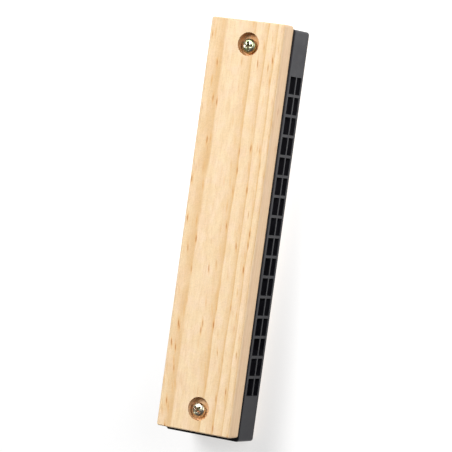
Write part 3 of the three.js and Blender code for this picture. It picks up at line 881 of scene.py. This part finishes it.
class HARMONICA_OT_reed_plates(bpy.types.Operator):
    """Make the two brass reed plates and their rivets"""

    bl_idname = "harmonica.reed_plates"
    bl_label = "Reed plates"

    def execute(self, context):
        settings = context.scene.harmonica_reeds
        for side_name, side in SIDES.items():
            self.make_plate(settings, side_name, side)
            self.make_rivets(settings, side_name, side)
        return {"FINISHED"}

    def make_plate(self, settings, side_name, side):
        node = f"{side_name}_reed_plate"
        low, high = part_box(node)
        centre = (low + high) / 2
        outer = comb_face(side)
        inner = outer - side * settings.plate_thickness
        floor, top = sorted((inner, outer))
        past = 1 * MM

        def sheet(bm):
            half_x, half_y = (high.x - low.x) / 2, (high.y - low.y) / 2
            edge = settings.plate_edge
            board(bm, half_x, half_y, floor, top, settings.plate_corner, edge, edge, steps=3)
            bm.transform(Matrix.Translation((centre.x, centre.y, 0)))

        def slots(bm):
            for name in reed_names(side_name):
                pivot = PIVOTS[name]
                half = settings.reed_width / 2 + settings.side_gap
                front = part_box(name)[0].y - settings.tip_gap
                rear = pivot.y - settings.pad_length / 2 - settings.shoulder / 2
                box_between(bm, Vector((pivot.x - half, front, floor - past)),
                            Vector((pivot.x + half, rear, top + past)))

        def sinks(bm):
            for screw in plate_screw_names(side_name):
                head_low, head_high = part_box(screw)
                wide = (head_high.x - head_low.x) / 2 + settings.side_gap
                narrow = wide / 2 + settings.side_gap / 2
                steps = ((-past, wide), (0, wide), (settings.sink_depth, narrow),
                         (settings.plate_thickness + past, narrow))
                skin_rings(bm, [circle(middle(screw), radius, outer - side * depth, SMALL_CIRCLE)
                                for depth, radius in steps])

        piece = solid(node, sheet)
        cut(piece, (slots, sinks))
        soften(piece, settings.stamped_edge, segments=1)
        finish_piece(piece, material_for("brass"), "brass", ROOT, node)

    def make_rivets(self, settings, side_name, side):
        def rivets(bm):
            for name in reed_names(side_name):
                pivot = PIVOTS[name]
                one = bmesh.new()
                turned(one, self.rivet_profile(settings, name, side), 24)
                outward = 1 if self.is_outside(pivot, side) else -1
                flip = Matrix.Scale(side * outward, 4, (0, 0, 1))
                one.transform(Matrix.Translation(pivot) @ flip)
                mesh = bpy.data.meshes.new("rivet")
                one.to_mesh(mesh)
                one.free()
                bm.from_mesh(mesh)
                bpy.data.meshes.remove(mesh)

        piece = solid(f"{side_name}_rivets", rivets)
        smooth(piece)
        finish_piece(piece, material_for("brass"), "brass", ROOT, f"{side_name}_reed_plate")

    def is_outside(self, pivot, side):
        return (pivot.z - comb_face(side)) * side > 0

    def rivet_profile(self, settings, name, side):
        """From the plate side, under the reed, to the head's crown, heights from the reed."""
        low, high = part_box(name)
        half = (high.z - low.z) / 2
        gap = abs(PIVOTS[name].z - comb_face(side))
        if not self.is_outside(PIVOTS[name], side):
            gap -= settings.plate_thickness
        lift = gap - half
        under = half + lift
        profile = [(0, -gap - 0.02 * MM), (settings.rivet_radius, -gap - 0.02 * MM),
                   (settings.rivet_radius, under), (settings.rivet_head, under)]
        steps = 5
        for step in range(1, steps):
            turn = step / steps * math.pi / 2
            profile.append((settings.rivet_head * math.cos(turn),
                            under + settings.rivet_rise * math.sin(turn)))
        profile.append((0, under + settings.rivet_rise))
        return profile


class HARMONICA_OT_reeds(bpy.types.Operator):
    """Make the thirty-two reeds"""

    bl_idname = "harmonica.reeds"
    bl_label = "Reeds"

    def execute(self, context):
        settings = context.scene.harmonica_reeds
        for side_name in SIDES:
            for name in reed_names(side_name):
                self.make_reed(settings, name)
        return {"FINISHED"}

    def make_reed(self, settings, name):
        low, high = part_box(name)
        pivot = PIVOTS[name]
        pad_half_x = (high.x - low.x) / 2
        pad_half_y = settings.pad_length / 2
        tongue = settings.reed_width / 2
        tip = low.y - pivot.y
        corner = settings.pad_corner

        def blank(bm):
            outline = [(-tongue, tip), (tongue, tip), (tongue, -pad_half_y - settings.shoulder)]
            outline.append((pad_half_x, -pad_half_y))
            for turn_from, sx in ((0, 1), (math.pi / 2, -1)):
                for step in range(5):
                    turn = turn_from + step / 4 * math.pi / 2
                    outline.append((
                        sx * (pad_half_x - corner) + corner * math.cos(turn),
                        pad_half_y - corner + corner * math.sin(turn),
                    ))
            outline.append((-pad_half_x, -pad_half_y))
            outline.append((-tongue, -pad_half_y - settings.shoulder))
            reach = settings.rivet_radius * 1.3
            hole = [(reach * math.cos(math.pi * k / 10), reach * math.sin(math.pi * k / 10))
                    for k in range(20)]
            edges = []
            for loop in (outline, hole):
                verts = [bm.verts.new((px, py, low.z - pivot.z)) for px, py in loop]
                edges += [bm.edges.new((verts[k - 1], verts[k])) for k in range(len(verts))]
            bmesh.ops.triangle_fill(bm, edges=edges, use_beauty=True)
            faces = bmesh.ops.extrude_face_region(bm, geom=bm.faces[:])["geom"]
            raised = [item for item in faces if isinstance(item, bmesh.types.BMVert)]
            bmesh.ops.translate(bm, verts=raised, vec=(0, 0, high.z - low.z))
            bm.transform(Matrix.Translation(pivot))

        piece = solid(name, blank)
        soften(piece, settings.stamped_edge, segments=1)
        finish_piece(piece, material_for("reed_bronze"), "reed_bronze", name, name)


# ------------------------------------------------------------------ screws

def dome_height(out, rim, crown):
    """Height of a pan head's top, out being 0 at its middle and 1 at its rim."""
    return rim + (crown - rim) * (1.0 - out ** PAN_FULLNESS) ** (1.0 / PAN_FULLNESS)


def dome(radius, rim, crown, steps=10):
    """The rounded top of a screw head: from its rim's edge to its crown."""
    points = []
    for step in range(steps):
        out = math.cos(step / steps * math.pi / 2)
        points.append((radius * out, dome_height(out, rim, crown)))
    points.append((0, crown))
    return points


def threaded(root, depth, pitch, low, high):
    """ripple for turned(): a thread on the shank between two heights, fading at both ends."""
    def ripple(turn, radius, height):
        if radius > root * 1.01 or not low <= height <= high:
            return radius
        phase = (height / pitch - turn / (2 * math.pi)) % 1.0
        ridge = max(0.0, 1.0 - abs(phase - 0.5) / THREAD_RIDGE)
        fade = min(1.0, (height - low) / pitch, (high - height) / (0.5 * pitch))
        return radius + depth * ridge * max(0.0, fade)
    return ripple


def shank_rows(root, point, tip, top, pitch):
    """Rows of (radius, height) from a screw's point up its shank."""
    rows = [(0, tip)]
    step = pitch / 8
    count = int((top - tip) / step)
    for index in range(1, count):
        height = tip + index * (top - tip) / count
        taper = BLUNT_POINT + (1.0 - BLUNT_POINT) * (height - tip) / point
        rows.append((root * min(1.0, taper), height))
    return rows


def place_screw(piece, spot, height, side, twist):
    """Turns a screw that was made upright at the origin, and puts it into its hole."""
    over = Matrix.Identity(4) if side > 0 else Matrix.Rotation(math.pi, 4, "X")
    place = Matrix.Translation((spot.x, spot.y, height))
    piece.data.transform(place @ over @ Matrix.Rotation(twist, 4, "Z"))


def cross_outline(reach, half, height):
    """The twelve corners of a cross, anticlockwise; its arms are 2 half wide."""
    corners = [Vector((x, y, height)) for x, y in ((reach, -half), (reach, half), (half, half))]
    return [Matrix.Rotation(quarter * math.pi / 2, 3, "Z") @ corner
            for quarter in range(4) for corner in corners]


class HARMONICA_OT_cover_screws(bpy.types.Operator):
    """Make the four cross-recessed cover screws"""

    bl_idname = "harmonica.cover_screws"
    bl_label = "Cover screws"

    def execute(self, context):
        settings = context.scene.harmonica_screws
        covers = context.scene.harmonica_covers
        for side_name, side in SIDES.items():
            for end in ENDS:
                self.make_screw(settings, covers, side_name, side, end)
        return {"FINISHED"}

    def make_screw(self, settings, covers, side_name, side, end):
        node = f"{COVER_OF[side_name]}_cover_screw_{end}"
        low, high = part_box(node)
        cover_low, cover_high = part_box(f"{COVER_OF[side_name]}_cover")
        thick = cover_high.z - cover_low.z
        radius = (high.x - low.x) / 2
        reach = high.z - low.z
        crown = (high.z - cover_low.z) if side > 0 else (cover_high.z - low.z)
        seat = thick - covers.bore_depth
        tip = crown - reach
        root = radius * 0.42
        edge = settings.head_edge
        profile = shank_rows(root, settings.point, tip, seat, settings.thread_pitch)
        profile += [(root, seat), (radius - edge, seat), (radius, seat + edge)]
        profile += dome(radius, seat + settings.head_rim, crown)
        ripple = threaded(root, settings.thread_depth, settings.thread_pitch, tip, seat - 0.4 * MM)

        def blank(bm):
            turned(bm, profile, 48, ripple)

        def recess(bm):
            floor = crown - settings.recess_depth
            span, width = settings.recess_span / 2, settings.recess_width / 2
            skin_rings(bm, [cross_outline(0.42 * span, 0.7 * width, floor),
                            cross_outline(1.1 * span, width, crown + 0.3 * MM)])

        piece = solid(node, blank)
        cut(piece, (recess,))
        soften(piece, settings.recess_edge, segments=2, limit=55.0)
        weld(piece, 0.002 * MM)
        self.mark_sunk(piece, radius, seat + settings.head_rim, crown)
        inner = cover_low.z if side > 0 else cover_high.z
        place_screw(piece, middle(node), inner, side, getattr(settings, f"twist_{end}"))
        finish_piece(piece, material_for("yellow_zinc"), "yellow_zinc", ROOT, node)

    def mark_sunk(self, piece, radius, rim, crown):
        """Marks the walls and floor of the recess, which lie below the head's dome."""
        marks = piece.data.attributes.new("sunk", "FLOAT", "POINT")
        bottom = rim - 0.6 * (crown - rim)
        for vertex, mark in zip(piece.data.vertices, marks.data):
            out = min(1.0, vertex.co.xy.length / radius)
            top = dome_height(out, rim, crown) - 0.05 * MM
            mark.value = 1.0 if out < 0.8 and bottom < vertex.co.z < top else 0.0


class HARMONICA_OT_plate_screws(bpy.types.Operator):
    """Make the eight countersunk screws of the reed plates"""

    bl_idname = "harmonica.plate_screws"
    bl_label = "Plate screws"

    def execute(self, context):
        for side_name, side in SIDES.items():
            for node in plate_screw_names(side_name):
                self.make_screw(context.scene.harmonica_screws, node, side)
        return {"FINISHED"}

    def make_screw(self, settings, node, side):
        low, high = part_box(node)
        radius = (high.x - low.x) / 2
        tip = low.z - high.z
        head = settings.small_head
        root = radius * 0.4
        edge = 0.04 * MM
        profile = shank_rows(root, settings.small_point, tip, -head, settings.small_pitch)
        profile += [(root, -head), (radius, -3 * edge), (radius, -edge), (radius - edge, 0), (0, 0)]
        ripple = threaded(root, settings.small_thread, settings.small_pitch, tip, -head)

        def blank(bm):
            turned(bm, profile, SMALL_CIRCLE, ripple)

        def slot(bm):
            half = settings.slot_width / 2
            box_between(bm, Vector((-radius * 2, -half, -settings.slot_depth)),
                        Vector((radius * 2, half, 1 * MM)))

        piece = solid(node, blank)
        cut(piece, (slot,))
        smooth(piece)
        # no two of the screws were driven home to the same turn
        spot = middle(node)
        place_screw(piece, spot, comb_face(side), side, (spot.x + spot.y) / MM)
        finish_piece(piece, material_for("yellow_zinc"), "yellow_zinc", ROOT, node)


# ------------------------------------------------------------------ stage

class HARMONICA_OT_stage(bpy.types.Operator):
    """Set the table, the studio light and the camera"""

    bl_idname = "harmonica.stage"
    bl_label = "Stage"

    def execute(self, context):
        settings = context.scene.harmonica_stage
        self.make_floor(settings)
        self.make_light(context.scene, settings)
        self.make_camera(context.scene, settings)
        context.scene.view_settings.view_transform = "Standard"
        return {"FINISHED"}

    def make_floor(self, settings):
        def sheet(bm):
            reach = settings.floor_reach
            corners = [bm.verts.new((sx * reach, sy * reach, -settings.floor_gap))
                       for sx, sy in ((-1, -1), (1, -1), (1, 1), (-1, 1))]
            bm.faces.new(corners)

        floor = solid("table_top", sheet)
        material, tree, shader, place = start_material("table_top", 0.6)
        mottle = tree.span(tree.noise(place, 0.02, 2.0), 0.3, 0.7, 0.0, 0.05)
        darker = tuple(0.9 * value for value in settings.floor[:3])
        tree.feed(tree.mix(mottle, settings.floor, (*darker, 1.0)), shader["Base Color"])
        shader["Specular IOR Level"].default_value = 0.0
        # painted light: the table top's own glow, brighter towards the high end
        along = tree.split(place)[0]
        glow = tree.span(along, -80.0, 60.0, settings.floor_glow, 1.5 * settings.floor_glow)
        tree.feed(tree.join(glow, glow, glow), shader["Emission Color"])
        shader["Emission Strength"].default_value = 1.0
        floor.data.materials.append(material)

    def make_light(self, scene, settings):
        world = bpy.data.worlds.new("studio")
        world.use_nodes = True
        tree = Tree(world.node_tree)
        background = world.node_tree.nodes["Background"]
        height = tree.split(tree.add("ShaderNodeTexCoord").outputs["Generated"])[2]
        glow = tree.span(height, -0.1, 0.9, 0.5, 1.25)
        tree.feed(tree.times(glow, settings.sky), background.inputs["Strength"])
        scene.world = world
        for name in ("key", "fill"):
            self.add_softbox(scene, settings, name)

    def add_softbox(self, scene, settings, name):
        light = bpy.data.lights.new(name, "AREA")
        light.energy = getattr(settings, f"{name}_power")
        light.shape = "SQUARE"
        light.size = getattr(settings, f"{name}_size")
        box = bpy.data.objects.new(name, light)
        scene.collection.objects.link(box)
        towards = Vector(getattr(settings, f"{name}_towards"))
        box.location = towards.normalized() * settings.light_distance
        box.rotation_euler = towards.to_track_quat("Z", "Y").to_euler()

    def make_camera(self, scene, settings):
        low, high = CAD_BOX
        target = (low + high) / 2 + Vector((settings.aim_along, settings.aim_behind, 0))
        flat = math.cos(settings.elevation)
        back = Vector((math.sin(settings.azimuth) * flat, -math.cos(settings.azimuth) * flat,
                       math.sin(settings.elevation)))
        lens = bpy.data.cameras.new("camera")
        lens.sensor_width = 36.0
        lens.lens = settings.lens
        lens.clip_start = 0.01
        lens.clip_end = 20.0
        camera = bpy.data.objects.new("camera", lens)
        scene.collection.objects.link(camera)
        aim = back.to_track_quat("Z", "Y") @ Matrix.Rotation(settings.roll, 3, "Z").to_quaternion()
        camera.rotation_mode = "QUATERNION"
        camera.rotation_quaternion = aim
        camera.location = target + back * settings.distance
        scene.camera = camera


# ------------------------------------------------------------------ panel and run

OPERATORS = (
    HARMONICA_OT_covers, HARMONICA_OT_comb, HARMONICA_OT_reed_plates, HARMONICA_OT_reeds,
    HARMONICA_OT_cover_screws, HARMONICA_OT_plate_screws, HARMONICA_OT_stage,
)
SETTINGS = {
    "harmonica_covers": CoverSettings, "harmonica_comb": CombSettings,
    "harmonica_reeds": ReedSettings, "harmonica_screws": ScrewSettings,
    "harmonica_stage": StageSettings,
}


class HARMONICA_PT_build(bpy.types.Panel):
    """Buttons and sizes for building the harmonica"""

    bl_idname = "HARMONICA_PT_build"
    bl_label = "Wooden Harmonica"
    bl_space_type = "VIEW_3D"
    bl_region_type = "UI"
    bl_category = "Harmonica"

    def draw(self, context):
        for operator in OPERATORS:
            self.layout.operator(operator.bl_idname)
        for name in SETTINGS:
            box = self.layout.box()
            group = getattr(context.scene, name)
            for prop in group.__annotations__:
                box.prop(group, prop)


CLASSES = (*SETTINGS.values(), *OPERATORS, HARMONICA_PT_build)


def register():
    for cls in CLASSES:
        bpy.utils.register_class(cls)
    for name, group in SETTINGS.items():
        setattr(bpy.types.Scene, name, PointerProperty(type=group))


def unregister():
    for name in SETTINGS:
        delattr(bpy.types.Scene, name)
    for cls in reversed(CLASSES):
        bpy.utils.unregister_class(cls)


def main():
    register()
    bpy.ops.harmonica.covers()
    bpy.ops.harmonica.comb()
    bpy.ops.harmonica.reed_plates()
    bpy.ops.harmonica.reeds()
    bpy.ops.harmonica.cover_screws()
    bpy.ops.harmonica.plate_screws()
    bpy.ops.harmonica.stage()


if __name__ == "__main__":
    main()
